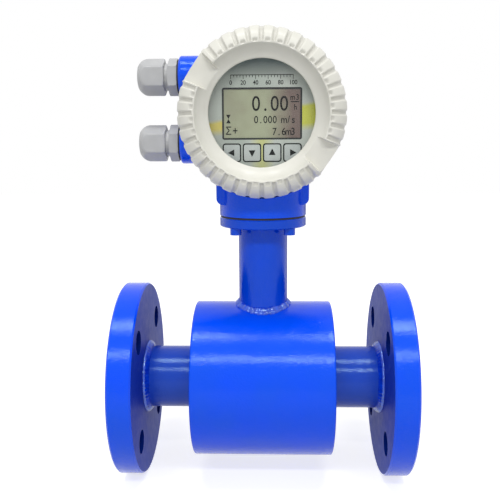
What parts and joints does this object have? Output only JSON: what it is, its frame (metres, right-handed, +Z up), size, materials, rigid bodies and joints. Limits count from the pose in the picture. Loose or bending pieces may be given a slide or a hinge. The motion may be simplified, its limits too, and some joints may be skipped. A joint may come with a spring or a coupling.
{
  "type": "electromagnetic flow meter",
  "caption": "Flanged pipe sensor with a round coil housing, a neck, and a round transmitter head with windowed display, screwed covers and two cable glands.",
  "frame": {"origin": "on the flow axis, half way between the two liner faces", "axes": "+X along the flow, from inlet to outlet; the display faces -Y; +Z up the neck"},
  "size_m": [0.225, 0.15, 0.339],
  "materials": {
    "blue_enamel": "smooth glossy blue enamel over steel and cast aluminium",
    "cover_enamel": "satin cream white enamel",
    "blue_screws": "screws enamelled with the meter",
    "liner_plastic": "white fluoroplastic",
    "coil_winding": "varnished copper wire",
    "magnet_iron": "soft iron",
    "steel": "turned stainless steel",
    "black_rubber": "black rubber",
    "grey_nylon": "light grey moulded nylon",
    "window_glass": "clear toughened glass",
    "bare_aluminium": "turned aluminium",
    "fascia_label": "satin printed label film",
    "lcd_frame": "black moulding",
    "lcd_panel": "grey-green display panel",
    "black_moulding": "black moulded plastic",
    "circuit_board": "green solder mask",
    "brass_posts": "turned brass",
    "key_caps": "pale blue-grey moulded keys",
    "terminal_green": "green moulded plastic"
  },
  "bodies": {
    "root": {"flange_inlet": "blue_enamel", "flange_weld_inlet": "blue_enamel", "end_plate_inlet": "blue_enamel", "plate_weld_inlet": "blue_enamel", "flange_outlet": "blue_enamel", "flange_weld_outlet": "blue_enamel", "end_plate_outlet": "blue_enamel", "plate_weld_outlet": "blue_enamel", "measuring_pipe": "blue_enamel", "liner": "liner_plastic", "liner_flare_inlet": "liner_plastic", "liner_flare_outlet": "liner_plastic", "coil_housing": "blue_enamel", "pole_shoe_upper": "magnet_iron", "coil_upper": "coil_winding", "pole_shoe_lower": "magnet_iron", "coil_lower": "coil_winding", "yoke_ring": "magnet_iron", "yoke_screws": "steel", "electrode_front": "steel", "electrode_bush_front": "liner_plastic", "electrode_rear": "steel", "electrode_bush_rear": "liner_plastic", "electrode_nuts": "steel", "neck_tube": "blue_enamel", "neck_weld": "blue_enamel", "neck_flange": "blue_enamel", "neck_gasket": "black_rubber", "neck_screws": "blue_screws", "transmitter_housing": "blue_enamel", "fascia": "fascia_label", "lcd_frame": "lcd_frame", "lcd_panel": "lcd_panel", "main_board": "circuit_board", "display_board": "circuit_board", "power_board": "circuit_board", "board_posts": "brass_posts", "key_switches": "black_moulding", "terminal_block": "terminal_green", "gland_washer_upper": "black_rubber", "gland_body_upper": "grey_nylon", "gland_washer_lower": "black_rubber", "gland_body_lower": "grey_nylon"},
    "front_cover_seal": {"front_cover_oring": "black_rubber"},
    "front_cover": {"front_cover": "cover_enamel", "window_gasket": "black_rubber", "window_glass": "window_glass", "glass_retainer": "bare_aluminium"},
    "rear_cover_seal": {"rear_cover_oring": "black_rubber"},
    "rear_cover": {"rear_cover": "cover_enamel", "rear_cover_plate": "cover_enamel"},
    "upper_gland_seal": {"gland_seal_upper": "black_rubber"},
    "upper_gland_nut": {"gland_nut_upper": "grey_nylon"},
    "lower_gland_seal": {"gland_seal_lower": "black_rubber"},
    "lower_gland_nut": {"gland_nut_lower": "grey_nylon"},
    "key_left": {"key_left": "key_caps"},
    "key_down": {"key_down": "key_caps"},
    "key_up": {"key_up": "key_caps"},
    "key_right": {"key_right": "key_caps"}
  },
  "joints": [
    {"name": "front_cover_travel", "type": "slide", "parent": "root", "child": "front_cover_seal", "axis": [0, -1, 0], "range_m": [0, 0.012]},
    {"name": "front_cover_turn", "type": "hinge", "parent": "front_cover_seal", "child": "front_cover", "pos_m": [0, 0, 0.205], "axis": [0, -1, 0], "range_deg": [0, 2160]},
    {"name": "rear_cover_travel", "type": "slide", "parent": "root", "child": "rear_cover_seal", "axis": [0, 1, 0], "range_m": [0, 0.012]},
    {"name": "rear_cover_turn", "type": "hinge", "parent": "rear_cover_seal", "child": "rear_cover", "pos_m": [0, 0, 0.205], "axis": [0, 1, 0], "range_deg": [0, 2160]},
    {"name": "upper_gland_travel", "type": "slide", "parent": "root", "child": "upper_gland_seal", "axis": [-1, 0, 0], "range_m": [0, 0.00675]},
    {"name": "upper_gland_turn", "type": "hinge", "parent": "upper_gland_seal", "child": "upper_gland_nut", "pos_m": [-0.0769, 0, 0.234], "axis": [-1, 0, 0], "range_deg": [0, 1620]},
    {"name": "lower_gland_travel", "type": "slide", "parent": "root", "child": "lower_gland_seal", "axis": [-1, 0, 0], "range_m": [0, 0.00675]},
    {"name": "lower_gland_turn", "type": "hinge", "parent": "lower_gland_seal", "child": "lower_gland_nut", "pos_m": [-0.0769, 0, 0.185], "axis": [-1, 0, 0], "range_deg": [0, 1620]},
    {"name": "key_left_press", "type": "slide", "parent": "root", "child": "key_left", "axis": [0, 1, 0], "range_m": [0, 0.0004], "stiffness_N_per_m": 300},
    {"name": "key_down_press", "type": "slide", "parent": "root", "child": "key_down", "axis": [0, 1, 0], "range_m": [0, 0.0004], "stiffness_N_per_m": 300},
    {"name": "key_up_press", "type": "slide", "parent": "root", "child": "key_up", "axis": [0, 1, 0], "range_m": [0, 0.0004], "stiffness_N_per_m": 300},
    {"name": "key_right_press", "type": "slide", "parent": "root", "child": "key_right", "axis": [0, 1, 0], "range_m": [0, 0.0004], "stiffness_N_per_m": 300}
  ],
  "couplings": [
    {"joint": "front_cover_travel", "follows": "front_cover_turn", "m_per_rad": 0.00031831},
    {"joint": "rear_cover_travel", "follows": "rear_cover_turn", "m_per_rad": 0.00031831},
    {"joint": "upper_gland_travel", "follows": "upper_gland_turn", "m_per_rad": 0.00023873},
    {"joint": "lower_gland_travel", "follows": "lower_gland_turn", "m_per_rad": 0.00023873}
  ]
}
